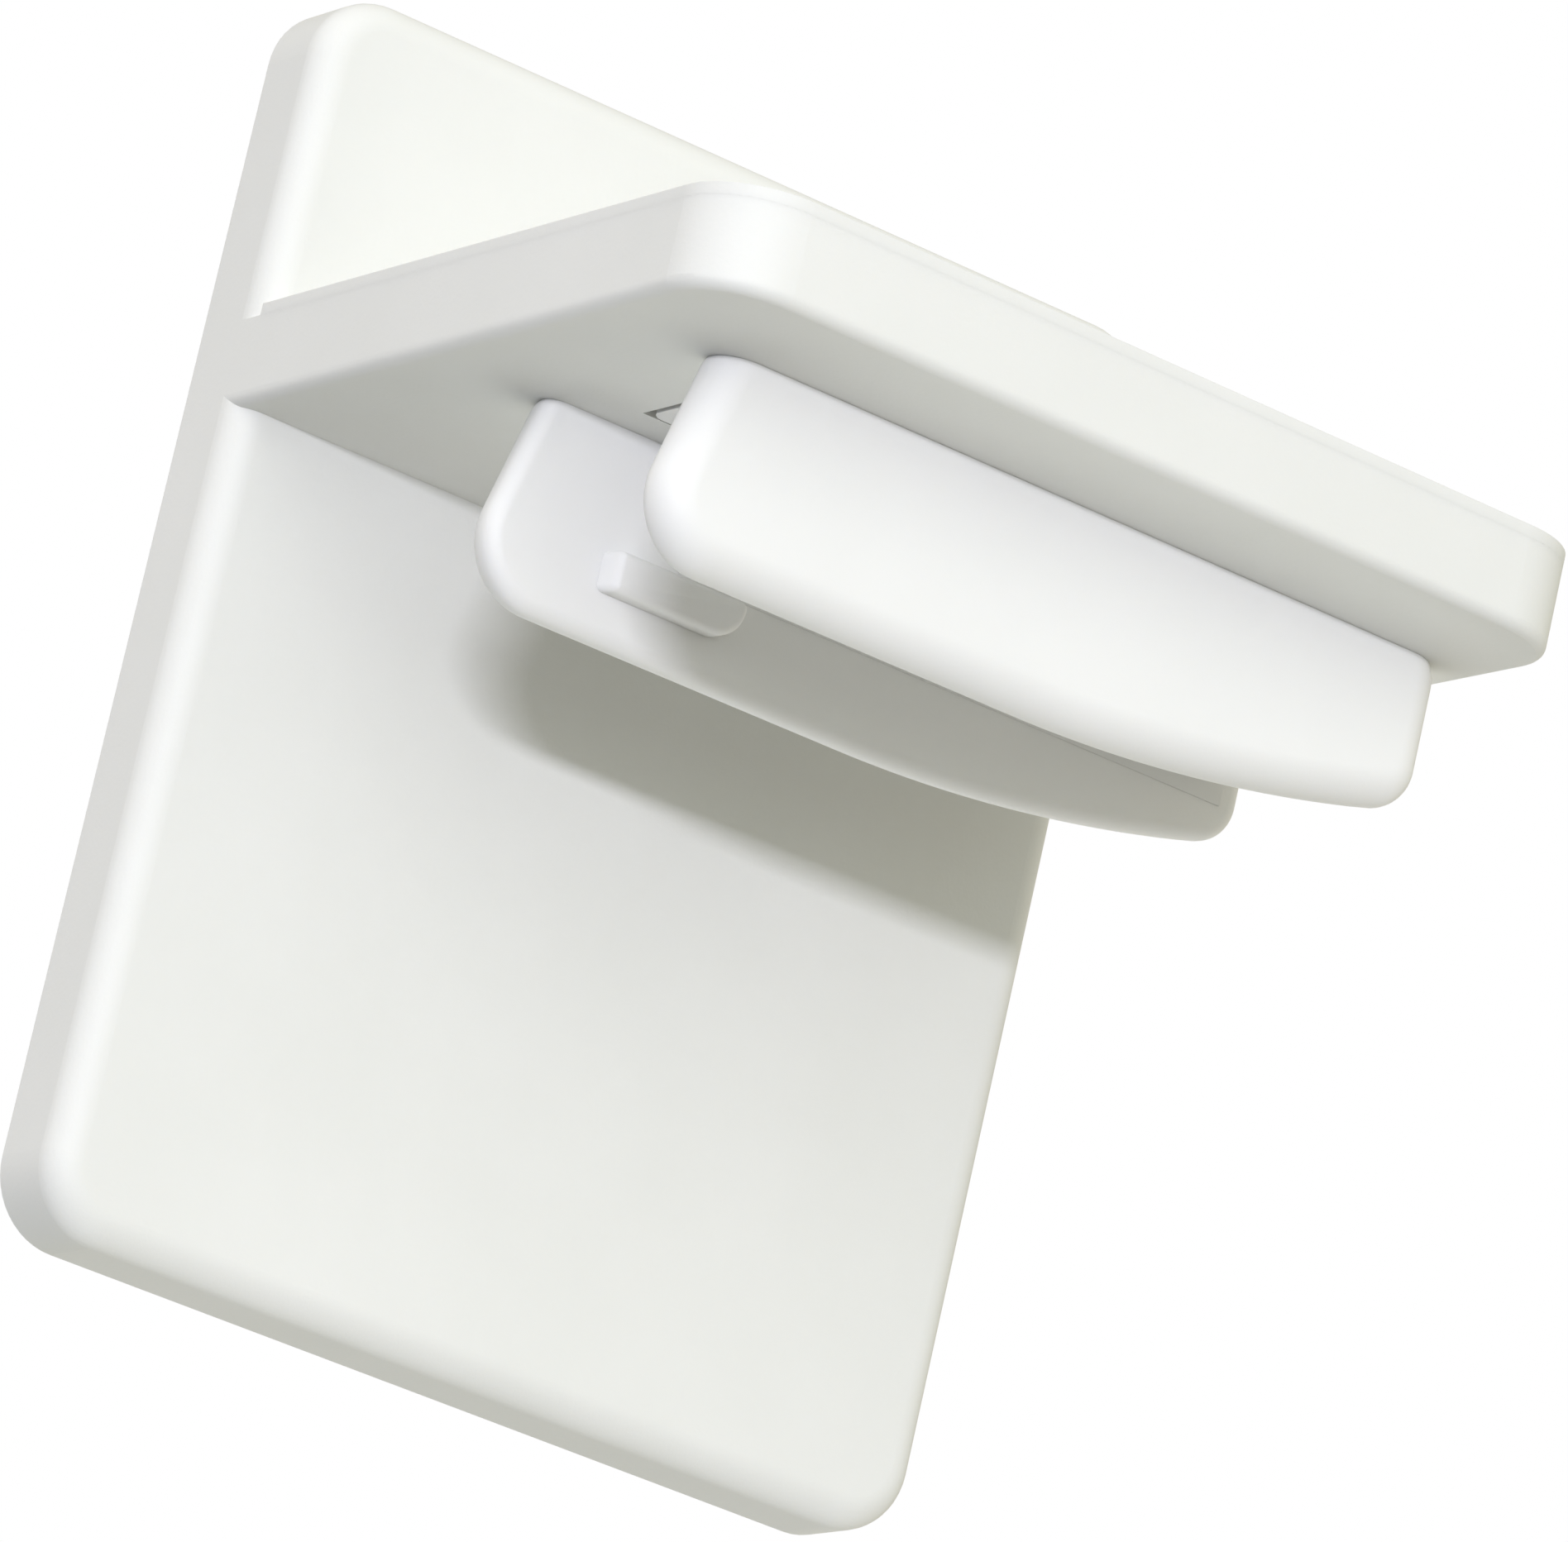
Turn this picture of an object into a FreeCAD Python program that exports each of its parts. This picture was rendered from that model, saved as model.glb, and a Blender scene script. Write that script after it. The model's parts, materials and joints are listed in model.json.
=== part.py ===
"""Stair gate latch: a wall plate, a moulded bracket with a hollow shelf, and a sprung catch below the shelf.

Frame: the wall is the plane Y = 0 and the latch stands out of it towards -Y.  X runs along the wall and Z
points up.  The origin is the middle of the wall plate's back face.
"""
import FreeCAD, Part
import math
import os
import Sketcher

SIZES = {
    # bracket plate, the part against the wall
    "plate_width": 60.0,
    "plate_height": 74.7,
    "plate_depth": 5.9,
    "plate_corner": 4.4,
    "edge_round": 1.8,
    "tray_round": 0.7,
    "right_round": 0.4,
    "face_wall": 2.0,
    "rim_wall": 2.2,
    # shelf, a tray closed by a cover
    "shelf_reach": 47.7,
    "shelf_base": 11.2,
    "shelf_depth": 6.0,
    "shelf_corner": 5.0,
    "tray_wall": 1.8,
    "tray_floor": 1.4,
    "cover_lip": 0.7,
    "cover_inset": 0.5,
    "cover_gap": 0.15,
    "boss_radius": 2.4,
    "boss_inset": 5.2,
    # catch shoe, two cheeks joined by a web
    "travel": 8.0,
    "channel_centre": 28.1,
    "channel_width": 14.4,
    "cheek_wall": 3.0,
    "cheek_height": 12.05,
    "shoe_left": 25.5,
    "shoe_length": 53.55,
    "hook_undercut": 3.3,
    "ramp_start": 27.1,
    "ramp_radius": 95.0,
    "hook_round": 4.2,
    "end_round": 2.6,
    "cheek_round": 2.0,
    "cheek_inner_round": 0.9,
    "crown_trim": 1.3,
    "shoe_gap": 0.08,
    "web_height": 4.7,
    "web_start": 13.5,
    "web_setback": 2.45,
    "rail_level": 5.35,
    "rail_proud": 0.12,
    "rail_setback": 1.45,
    "rail_drop": 1.5,
    "nub_start": 8.5,
    "nub_length": 9.3,
    "nub_height": 2.4,
    "nub_lift": 2.7,
    "nub_proud": 1.3,
    "nub_round": 1.9,
    "nub_chamfer": 0.55,
    # carriage inside the tray and its key through the tray floor
    "key_start": 7.3,
    "key_length": 30.2,
    "key_width": 7.2,
    "key_end_gap": 0.25,
    "key_side_gap": 0.35,
    "carriage_wall": 1.8,
    "carriage_lead": 2.8,
    "carriage_tail": 2.0,
    "carriage_width": 18.0,
    "run_gap": 0.1,
    "guide_gap": 0.15,
    "guide_wall": 1.2,
    "guide_height": 1.6,
    "seat_length": 3.0,
    "seat_width": 4.0,
    # springs and their guide pins
    "spring_spacing": 11.0,
    "spring_radius": 1.4,
    "spring_wire": 0.35,
    "spring_turns": 9.0,
    "pin_radius": 0.6,
    "pin_seat": 1.0,
    "pin_gap": 0.02,
    "pin_tip_gap": 0.6,
    "touch_gap": 0.02,
    # rubber buffer at the rest stop
    "buffer_length": 3.0,
    "buffer_width": 12.0,
    "buffer_height": 2.2,
    # thumb slide on top of the cover
    "neck_start": 8.2,
    "neck_length": 8.0,
    "neck_width": 6.0,
    "neck_gap": 0.4,
    "grip_length": 18.0,
    "grip_width": 14.0,
    "grip_height": 2.6,
    "grip_gap": 0.3,
    "grip_round": 1.0,
    "pad_length": 13.0,
    "pad_width": 10.0,
    "pad_sink": 0.9,
    "pad_rib": 0.6,
    "pad_rib_pitch": 2.6,
    # wall plate behind the bracket
    "back_wall": 2.6,
    "back_gap": 0.15,
    "back_corner": 2.5,
    "wall_hole_radius": 2.2,
    "wall_head_radius": 4.0,
    "wall_hole_width": 36.0,
    "wall_hole_height": 50.0,
    "ledge_spacing": 32.0,
    "ledge_width": 10.0,
    "ledge_height": 1.6,
    "ledge_wall": 0.9,
    "ledge_gap": 0.2,
    "lug_width": 8.0,
    "lug_height": 7.0,
    "lug_gap": 0.15,
    "lock_axis": 2.2,
    "rib_wall": 1.0,
    "rib_gap": 0.2,
    # small countersunk screws, one size throughout
    "screw_radius": 1.0,
    "screw_head_radius": 1.7,
    "screw_head_cone": 0.9,
    "screw_length": 4.4,
    "lock_screw_length": 7.5,
    "shoe_screw_length": 6.4,
    "thumb_screw_bite": 3.0,
    "screw_gap": 0.02,
    "head_gap": 0.05,
    "recess_width": 0.45,
    "recess_depth": 0.6,
    "shoe_screw_spacing": 8.0,
    "shoe_screw_inset": 3.0,
}

doc = FreeCAD.newDocument("stair_gate_latch")
sheet = doc.addObject("Spreadsheet::Sheet", "Sizes")
for row, (name, value) in enumerate(SIZES.items(), 1):
    sheet.set(f"A{row}", name)
    sheet.set(f"B{row}", str(value))
    sheet.setAlias(f"B{row}", name)
doc.recompute()


def size(name):
    """The value of a named size, read from the sheet."""
    return float(sheet.get(name))


def dims(text):
    """A formula in size names, as an expression that the document follows."""
    words = []
    for word in text.replace("(", " ( ").replace(")", " ) ").split():
        words.append(f"Sizes.{word}" if word in SIZES else word)
    return " ".join(words)


# ---------------------------------------------------------------- levels and lines that several pieces share
FACE = "(0 - plate_depth)"
FLOOR_TOP = "(shelf_base + tray_floor)"
TRAY_TOP = "(shelf_base + shelf_depth - cover_lip)"
COVER_TOP = "(shelf_base + shelf_depth)"
COVER_UNDER = f"({TRAY_TOP} - cover_inset)"
TRAY_END = "(plate_width / 2 - tray_wall)"
MIDDLE = "(0 - plate_depth - channel_centre)"
SHOE_TOP = "(shelf_base - shoe_gap)"
SHOE_BASE = f"({SHOE_TOP} - cheek_height)"
SHOE_X = "(0 - shoe_left)"
SHOE_WIDTH = "(channel_width + 2 * cheek_wall)"
KEY_X = f"({SHOE_X} + key_start)"
CARRIAGE_X = f"({KEY_X} - carriage_lead)"
CARRIAGE_END = f"({KEY_X} + key_length + carriage_tail)"
CARRIAGE_BASE = f"({FLOOR_TOP} + run_gap)"
CARRIAGE_TOP = f"({CARRIAGE_BASE} + carriage_wall)"
SPRING_LEVEL = f"({CARRIAGE_BASE} + spring_radius + run_gap)"
NECK_X = f"({KEY_X} + neck_start)"
NECK_MIDDLE = f"({NECK_X} + neck_length / 2)"
GRIP_BASE = f"({COVER_TOP} + grip_gap)"
GRIP_TOP = f"({GRIP_BASE} + grip_height)"
BACK_TOP = "(plate_height / 2 - rim_wall - back_gap)"
SHOE_SCREWS_X = f"({KEY_X} + key_length - shoe_screw_inset)"
PAD_BED = f"({GRIP_TOP} - pad_sink)"
THUMB_SCREW = f"({PAD_BED} - {CARRIAGE_TOP} + thumb_screw_bite)"


# ---------------------------------------------------------------- small building functions
def bind(item, **formulas):
    for prop, text in formulas.items():
        item.setExpression(prop, dims(text))
    return item


def place(item, x, y, z, rotation=None):
    if rotation is not None:
        item.Placement = FreeCAD.Placement(FreeCAD.Vector(0, 0, 0), rotation)
    for axis, text in zip("xyz", (x, y, z)):
        item.setExpression(f"Placement.Base.{axis}", dims(text))
    return item


def box(name, x, y, z, length, width, height):
    """A box from its low corner."""
    item = doc.addObject("Part::Box", name)
    bind(item, Length=length, Width=width, Height=height)
    return place(item, x, y, z)


def centred_box(name, x, y, z, length, width, height):
    """A box centred on x and y that stands on z."""
    return box(name, f"{x} - ({length}) / 2", f"{y} - ({width}) / 2", z, length, width, height)


TO_X = FreeCAD.Rotation(FreeCAD.Vector(0, 1, 0), 90)
TO_Y = FreeCAD.Rotation(FreeCAD.Vector(1, 0, 0), -90)
DOWN = FreeCAD.Rotation(FreeCAD.Vector(1, 0, 0), 180)
UP = FreeCAD.Rotation()


def rod(name, x, y, z, radius, height, rotation=UP):
    item = doc.addObject("Part::Cylinder", name)
    bind(item, Radius=radius, Height=height)
    return place(item, x, y, z, rotation)


def taper(name, x, y, z, near, far, height, rotation=UP):
    item = doc.addObject("Part::Cone", name)
    bind(item, Radius1=near, Radius2=far, Height=height)
    return place(item, x, y, z, rotation)


def fuse(name, items):
    item = doc.addObject("Part::MultiFuse", name)
    item.Shapes = items
    item.Refine = True
    return item


def cut(name, base, tools):
    item = doc.addObject("Part::Cut", name)
    item.Base = base
    item.Tool = tools[0] if len(tools) == 1 else fuse(f"{name}_tools", tools)
    return item


def group(name, items):
    item = doc.addObject("Part::Compound", name)
    item.Links = items
    return item


def near(a, b):
    return abs(a - b) < 1e-4


def rounded(name, base, radius, wanted):
    """Rounds the edges of base whose bounds meet the test."""
    doc.recompute()
    item = doc.addObject("Part::Fillet", name)
    item.Base = base
    item.Edges = [(i, radius, radius) for i, e in enumerate(base.Shape.Edges, 1) if wanted(e.BoundBox)]
    return item


def along_y(b):
    return b.XLength < 1e-4 and b.ZLength < 1e-4


def along_z(b):
    return b.XLength < 1e-4 and b.YLength < 1e-4


def screw(name, x, y, z, length, rotation=DOWN):
    """A countersunk screw with a cross recess. Its head's flat face is at x, y, z."""
    cone = taper(f"{name}_head", x, y, z, "screw_head_radius", "screw_radius", "screw_head_cone", rotation)
    shank = rod(f"{name}_shank", x, y, z, "screw_radius", length, rotation)
    arms = []
    for turn in (0, 90):
        arm = doc.addObject("Part::Box", f"{name}_recess_{turn}")
        bind(arm, Length="screw_head_radius * 1.2", Width="recess_width", Height="recess_depth")
        corner = FreeCAD.Vector(-0.6 * size("screw_head_radius"), -size("recess_width") / 2, 0)
        spin = rotation.multiply(FreeCAD.Rotation(FreeCAD.Vector(0, 0, 1), turn))
        arm.Placement = FreeCAD.Placement(FreeCAD.Vector(0, 0, 0), spin)
        shift = spin.multVec(corner)
        for axis, text, part in zip("xyz", (x, y, z), (shift.x, shift.y, shift.z)):
            arm.setExpression(f"Placement.Base.{axis}", dims(f"{text} + ( {part:.6f} )"))
        arms.append(arm)
    return cut(name, fuse(f"{name}_blank", [cone, shank]), arms)


def screw_hole(name, x, y, z, length, rotation=DOWN, head=True):
    """The space for one screw: a pilot hole and, where its head sits, a countersink."""
    items = [rod(f"{name}_pilot", x, y, z, "screw_radius + screw_gap", length, rotation)]
    if head:
        wide = "screw_head_radius + head_gap"
        items.append(
            taper(f"{name}_sink", x, y, z, wide, "screw_radius + screw_gap", "screw_head_cone + head_gap", rotation)
        )
    return items


def body(label):
    item = doc.addObject("PartDesign::Body", label)
    item.Label = label
    return item


def plane(owner, role):
    return [f for f in owner.Origin.OriginFeatures if f.Role == role][0]


def sketch(owner, name, role, offset):
    item = owner.newObject("Sketcher::SketchObject", name)
    item.AttachmentSupport = [(plane(owner, role), "")]
    item.MapMode = "FlatFace"
    item.setExpression("AttachmentOffset.Base.z", dims(offset))
    return item


def solid_box(owner, kind, name, x, y, z, length, width, height):
    """An additive or subtractive box feature of a body, from its low corner."""
    item = owner.newObject(f"PartDesign::{kind}Box", name)
    bind(item, Length=length, Width=width, Height=height)
    return place(item, x, y, z)


def dress(owner, kind, name, wanted, **sizes):
    """A fillet or chamfer of a body, on the edges whose bounds meet the test."""
    doc.recompute()
    base = owner.Tip
    item = owner.newObject(f"PartDesign::{kind}", name)
    edges = [f"Edge{i}" for i, e in enumerate(base.Shape.Edges, 1) if wanted(e.BoundBox)]
    item.Base = (base, edges)
    return bind(item, **sizes)


def body_fillet(owner, name, radius, wanted):
    return dress(owner, "Fillet", name, wanted, Radius=radius)


# ---------------------------------------------------------------- bracket: plate and tray in one moulding
def under_edges(tray, base, back):
    """The tray's lower edges: rounded at the left and front, running out to less at the right."""
    doc.recompute()
    wide = size("tray_round")
    small = size("right_round")
    right = size("plate_width") / 2
    item = doc.addObject("Part::Fillet", "tray_under")
    item.Base = tray
    edges = []
    for i, edge in enumerate(tray.Shape.Edges, 1):
        bounds = edge.BoundBox
        if not (near(bounds.ZMin, base) and near(bounds.ZMax, base)) or near(bounds.YMin, back):
            continue
        first, last = [small if near(v.Point.x, right) else wide for v in edge.Vertexes]
        edges.append((i, first, last))
    item.Edges = edges
    return item


def bracket_body():
    slab = box("plate_slab", "0 - plate_width / 2", FACE, "0 - plate_height / 2",
               "plate_width", "plate_depth", "plate_height")
    slab = rounded("plate_corners", slab, size("plate_corner"), along_y)
    face = -size("plate_depth")
    slab = rounded("plate_front", slab, size("edge_round"), lambda b: near(b.YMin, face) and near(b.YMax, face))

    # the tray's sides run flush into the plate's rim, behind the rounding of the plate's front edge
    tray = box("tray_block", "0 - plate_width / 2", f"{FACE} - shelf_reach", "shelf_base",
               "plate_width", "shelf_reach + edge_round", "shelf_depth - cover_lip")
    front = face - size("shelf_reach")
    base = size("shelf_base")
    tray = rounded("tray_corners", tray, size("shelf_corner"), lambda b: along_z(b) and near(b.YMin, front))
    back = face + size("edge_round")
    tray = under_edges(tray, base, back)

    hollow = box("plate_hollow", "0 - plate_width / 2 + rim_wall", f"{FACE} + face_wall",
                 "0 - plate_height / 2 + rim_wall", "plate_width - 2 * rim_wall",
                 "plate_depth - face_wall", "plate_height - 2 * rim_wall")
    hollow = rounded("plate_hollow_corners", hollow, size("back_corner"), along_y)
    well = box("tray_well", f"0 - {TRAY_END}", f"{FACE} - shelf_reach + tray_wall", FLOOR_TOP,
               f"2 * {TRAY_END}", "shelf_reach - 2 * tray_wall", "shelf_depth")
    well = rounded("tray_well_corners", well, size("shelf_corner") - size("tray_wall"),
                   lambda b: along_z(b) and b.YMin < front / 2)
    slot = box("key_slot", f"{KEY_X} - key_end_gap", f"{MIDDLE} - key_width / 2 - key_side_gap",
               "shelf_base - tray_floor", "key_length + travel + 2 * key_end_gap",
               "key_width + 2 * key_side_gap", "3 * tray_floor")
    shell = cut("bracket_shell", fuse("bracket_blank", [slab, tray]), [hollow, well, slot])

    adds = []
    for side in ("-", "+"):
        adds.append(centred_box(
            f"guide_{'front' if side == '-' else 'rear'}", "0",
            f"{MIDDLE} {side} (carriage_width / 2 + guide_gap + guide_wall / 2)", f"{FLOOR_TOP} - tray_floor / 2",
            f"2 * {TRAY_END} - 4", "guide_wall", "guide_height + tray_floor / 2"))
        adds.append(centred_box(
            f"ledge_{'left' if side == '-' else 'right'}", f"0 {side} ledge_spacing / 2", "0 - ledge_wall / 2",
            "0 - plate_height / 2 + rim_wall / 2", "ledge_width", "ledge_wall", "rim_wall / 2 + ledge_height"))
    adds.append(box("buffer_stop", f"{CARRIAGE_X} - buffer_length - touch_gap - guide_wall",
                    f"{MIDDLE} - buffer_width / 2", f"{FLOOR_TOP} - tray_floor / 2",
                    "guide_wall", "buffer_width", "buffer_height + tray_floor / 2"))
    for i, x in enumerate(("0 - plate_width / 2 + boss_inset", "plate_width / 2 - boss_inset")):
        for j, y in enumerate((f"{FACE} - boss_inset", f"{FACE} - shelf_reach + boss_inset")):
            adds.append(rod(f"boss_{i}{j}", x, y, f"{FLOOR_TOP} - tray_floor / 2", "boss_radius",
                            f"{COVER_UNDER} - {FLOOR_TOP} + tray_floor / 2"))
    rib_depth = "(plate_depth - face_wall - back_wall - rib_gap + face_wall / 2)"
    for i, share in enumerate((-0.4, -0.133, 0.133, 0.4)):
        adds.append(centred_box(f"rib_up_{i}", f"plate_width * ({share})",
                                f"{FACE} + face_wall / 2 + {rib_depth} / 2", "0 - plate_height / 2 + 2 * rim_wall",
                                "rib_wall", rib_depth, "plate_height - 4 * rim_wall - lug_height"))
    for i, share in enumerate((-0.3, 0.0)):
        adds.append(centred_box(f"rib_across_{i}", "0", f"{FACE} + face_wall / 2 + {rib_depth} / 2",
                                f"plate_height * ({share})", "plate_width - 2 * rim_wall",
                                rib_depth, "rib_wall"))

    holes = []
    for i, x in enumerate(("0 - plate_width / 2 + boss_inset", "plate_width / 2 - boss_inset")):
        for j, y in enumerate((f"{FACE} - boss_inset", f"{FACE} - shelf_reach + boss_inset")):
            holes += screw_hole(f"cover_pilot_{i}{j}", x, y, COVER_TOP, "screw_length + screw_gap", head=False)
    for i, side in enumerate("-+"):
        holes += screw_hole(f"lock_hole_{i}", f"0 {side} ledge_spacing / 2", "0 - lock_axis", "plate_height / 2",
                            "3 * rim_wall")
        holes.append(rod(f"pin_hole_{i}", TRAY_END, f"{MIDDLE} {side} spring_spacing / 2", SPRING_LEVEL,
                         "pin_radius + pin_gap", "pin_seat + pin_gap", TO_X))
    return cut("bracket_body", fuse("bracket_ribbed", [shell] + adds), holes)


# ---------------------------------------------------------------- cover with its thumb slot
def shelf_cover():
    panel = box("cover_panel", "0 - plate_width / 2", f"{FACE} - shelf_reach", TRAY_TOP,
                "plate_width", "shelf_reach - cover_gap", "cover_lip")
    front = -size("plate_depth") - size("shelf_reach")
    panel = rounded("cover_corners", panel, size("shelf_corner"), lambda b: along_z(b) and near(b.YMin, front))
    inset = box("cover_plug", f"0 - {TRAY_END} + cover_gap", f"{FACE} - shelf_reach + tray_wall + cover_gap",
                COVER_UNDER, f"2 * {TRAY_END} - 2 * cover_gap", "shelf_reach - 2 * tray_wall - 2 * cover_gap",
                "cover_inset + cover_lip / 2")
    inset = rounded("cover_plug_corners", inset, size("shelf_corner") - size("tray_wall"), along_z)
    slot = box("thumb_slot", f"{NECK_X} - neck_gap", f"{MIDDLE} - neck_width / 2 - neck_gap", FLOOR_TOP,
               "neck_length + travel + 2 * neck_gap", "neck_width + 2 * neck_gap", "shelf_depth")
    holes = [slot]
    for i, x in enumerate(("0 - plate_width / 2 + boss_inset", "plate_width / 2 - boss_inset")):
        for j, y in enumerate((f"{FACE} - boss_inset", f"{FACE} - shelf_reach + boss_inset")):
            holes += screw_hole(f"cover_hole_{i}{j}", x, y, COVER_TOP, "screw_length")
    return cut("shelf_cover", fuse("cover_blank", [panel, inset]), holes)


def cover_screws():
    items = []
    for i, x in enumerate(("0 - plate_width / 2 + boss_inset", "plate_width / 2 - boss_inset")):
        for j, y in enumerate((f"{FACE} - boss_inset", f"{FACE} - shelf_reach + boss_inset")):
            items.append(screw(f"cover_screw_{i}{j}", x, y, COVER_TOP, "screw_length"))
    return group("cover_screws", items)


# ---------------------------------------------------------------- catch shoe
def cheek_outline(owner):
    """Side view of a cheek: hooked left end, flat underside that ramps up to the right end.

    It reaches a little above the shoe's top, where its rounded crown is trimmed flat."""
    item = sketch(owner, "cheek_outline", "XZ_Plane", f"0 - {MIDDLE} - {SHOE_WIDTH} / 2")
    left = -size("shoe_left")
    right = left + size("shoe_length")
    top = size("shelf_base") - size("shoe_gap") + size("crown_trim")
    low = top - size("crown_trim") - size("cheek_height")
    turn = left + size("ramp_start")
    radius = size("ramp_radius")
    sweep = math.asin((right - turn) / radius)
    rise = low + radius * (1 - math.cos(sweep))
    at = FreeCAD.Vector
    item.addGeometry(Part.LineSegment(at(left, low, 0), at(turn, low, 0)))
    circle = Part.Circle(at(turn, low + radius, 0), at(0, 0, 1), radius)
    item.addGeometry(Part.ArcOfCircle(circle, -math.pi / 2, -math.pi / 2 + sweep))
    item.addGeometry(Part.LineSegment(at(right, rise, 0), at(right, top, 0)))
    item.addGeometry(Part.LineSegment(at(right, top, 0), at(left + size("hook_undercut"), top, 0)))
    item.addGeometry(Part.LineSegment(at(left + size("hook_undercut"), top, 0), at(left, low, 0)))
    rule = Sketcher.Constraint
    item.addConstraint(rule("Tangent", 0, 2, 1, 1))
    item.addConstraint(rule("Coincident", 1, 2, 2, 1))
    item.addConstraint(rule("Coincident", 2, 2, 3, 1))
    item.addConstraint(rule("Coincident", 3, 2, 4, 1))
    item.addConstraint(rule("Coincident", 4, 2, 0, 1))
    item.addConstraint(rule("Horizontal", 0))
    item.addConstraint(rule("Vertical", 2))
    item.addConstraint(rule("Horizontal", 3))
    sizes = [
        (rule("DistanceX", 0, 1, -1, 1, -left), "shoe_left"),
        (rule("DistanceX", 0, 1, 0, 2, turn - left), "ramp_start"),
        (rule("DistanceX", 0, 1, 2, 1, right - left), "shoe_length"),
        (rule("DistanceX", 0, 1, 3, 2, size("hook_undercut")), "hook_undercut"),
        (rule("DistanceY", 0, 1, 3, 2, top - low), "cheek_height + crown_trim"),
        (rule("DistanceY", -1, 1, 3, 2, top), f"{SHOE_TOP} + crown_trim"),
        (rule("Radius", 1, radius), "ramp_radius"),
    ]
    for constraint, text in sizes:
        index = item.addConstraint(constraint)
        item.setExpression(f"Constraints[{index}]", dims(text))
    return item


def catch_shoe():
    owner = body("catch_shoe")
    outline = cheek_outline(owner)
    pad = owner.newObject("PartDesign::Pad", "shoe_block")
    pad.Profile = outline
    bind(pad, Length=SHOE_WIDTH)
    doc.recompute()
    left = -size("shoe_left")
    right = left + size("shoe_length")
    low = pad.Shape.BoundBox.ZMin
    body_fillet(owner, "hook_corner", "hook_round", lambda b: along_y(b) and near(b.ZMin, low) and near(b.XMin, left))
    body_fillet(owner, "other_corners", "end_round",
                lambda b: along_y(b) and (near(b.XMin, right) or near(b.XMin, left + size("hook_undercut"))))
    faces = (pad.Shape.BoundBox.YMin, pad.Shape.BoundBox.YMax)
    body_fillet(owner, "cheek_edges", "cheek_round",
                lambda b: b.YLength < 1e-3 and (near(b.YMin, faces[0]) or near(b.YMin, faces[1])))
    solid_box(owner, "Subtractive", "crown", f"{SHOE_X} - 1", f"{MIDDLE} - {SHOE_WIDTH}", SHOE_TOP,
              "shoe_length + 2", f"2 * {SHOE_WIDTH}", "2 * crown_trim")
    web_x = f"({SHOE_X} + web_start)"
    web_end = f"({SHOE_X} + shoe_length - web_setback)"
    low_y = f"{MIDDLE} - channel_width / 2"
    solid_box(owner, "Subtractive", "channel", f"{SHOE_X} - 1", low_y, f"{SHOE_BASE} - 1",
              "shoe_length + 2", "channel_width", "cheek_height - web_height + 1")
    solid_box(owner, "Subtractive", "open_end", f"{SHOE_X} - 1", low_y, f"{SHOE_BASE} - 1",
              "web_start + 1", "channel_width", "cheek_height + 2")
    solid_box(owner, "Subtractive", "web_end", web_end, low_y, f"{SHOE_BASE} - 1",
              "web_setback + 1", "channel_width", "cheek_height + 2")
    middle = -size("plate_depth") - size("channel_centre")
    inner = (middle - size("channel_width") / 2, middle + size("channel_width") / 2)
    top = low + size("cheek_height")
    web_low = top - size("web_height")
    web_ends = (left + size("web_start"), right - size("web_setback"))
    body_fillet(owner, "cheek_inner_edges", "cheek_inner_round",
                lambda b: b.YLength < 1e-3 and (near(b.YMin, inner[0]) or near(b.YMin, inner[1]))
                and not near(b.ZMin, web_low) and not near(b.ZMin, top)
                and not (b.XLength < 1e-3 and (near(b.XMin, web_ends[0]) or near(b.XMin, web_ends[1]))))
    for name, y in (("rail_front", low_y), ("rail_rear", f"{MIDDLE} + channel_width / 2 - rail_proud")):
        solid_box(owner, "Additive", name, f"{SHOE_X} + web_start", y, f"{SHOE_BASE} + rail_level",
                  "shoe_length - web_start - rail_setback", "rail_proud", "cheek_height - rail_level - rail_drop")
    for name, y in (("nub_front", low_y), ("nub_rear", f"{MIDDLE} + channel_width / 2 - nub_proud")):
        solid_box(owner, "Additive", name, f"{SHOE_X} + nub_start", y, f"{SHOE_BASE} + nub_lift",
                  "nub_length", "nub_proud", "nub_height")
    nub_left = left + size("nub_start")
    nub_end = nub_left + size("nub_length")
    nub_low = low + size("nub_lift")
    nub_faces = (inner[0] + size("nub_proud"), inner[1] - size("nub_proud"))
    body_fillet(owner, "nub_corners", "nub_round",
                lambda b: along_y(b) and near(b.XMin, nub_end) and near(b.ZMin, nub_low))
    dress(owner, "Chamfer", "nub_leads",
          lambda b: along_z(b) and near(b.XMin, nub_left) and any(near(b.YMin, face) for face in nub_faces),
          Size="nub_chamfer")
    doc.recompute()
    for i, side in enumerate(("", " - shoe_screw_spacing")):
        hole = owner.newObject("PartDesign::SubtractiveCylinder", f"shoe_pilot_{i}")
        bind(hole, Radius="screw_radius + screw_gap", Height="shoe_screw_length + screw_gap")
        place(hole, f"{SHOE_SCREWS_X}{side}", MIDDLE, f"{CARRIAGE_TOP} - shoe_screw_length - screw_gap")
    doc.recompute()
    return owner


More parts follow.
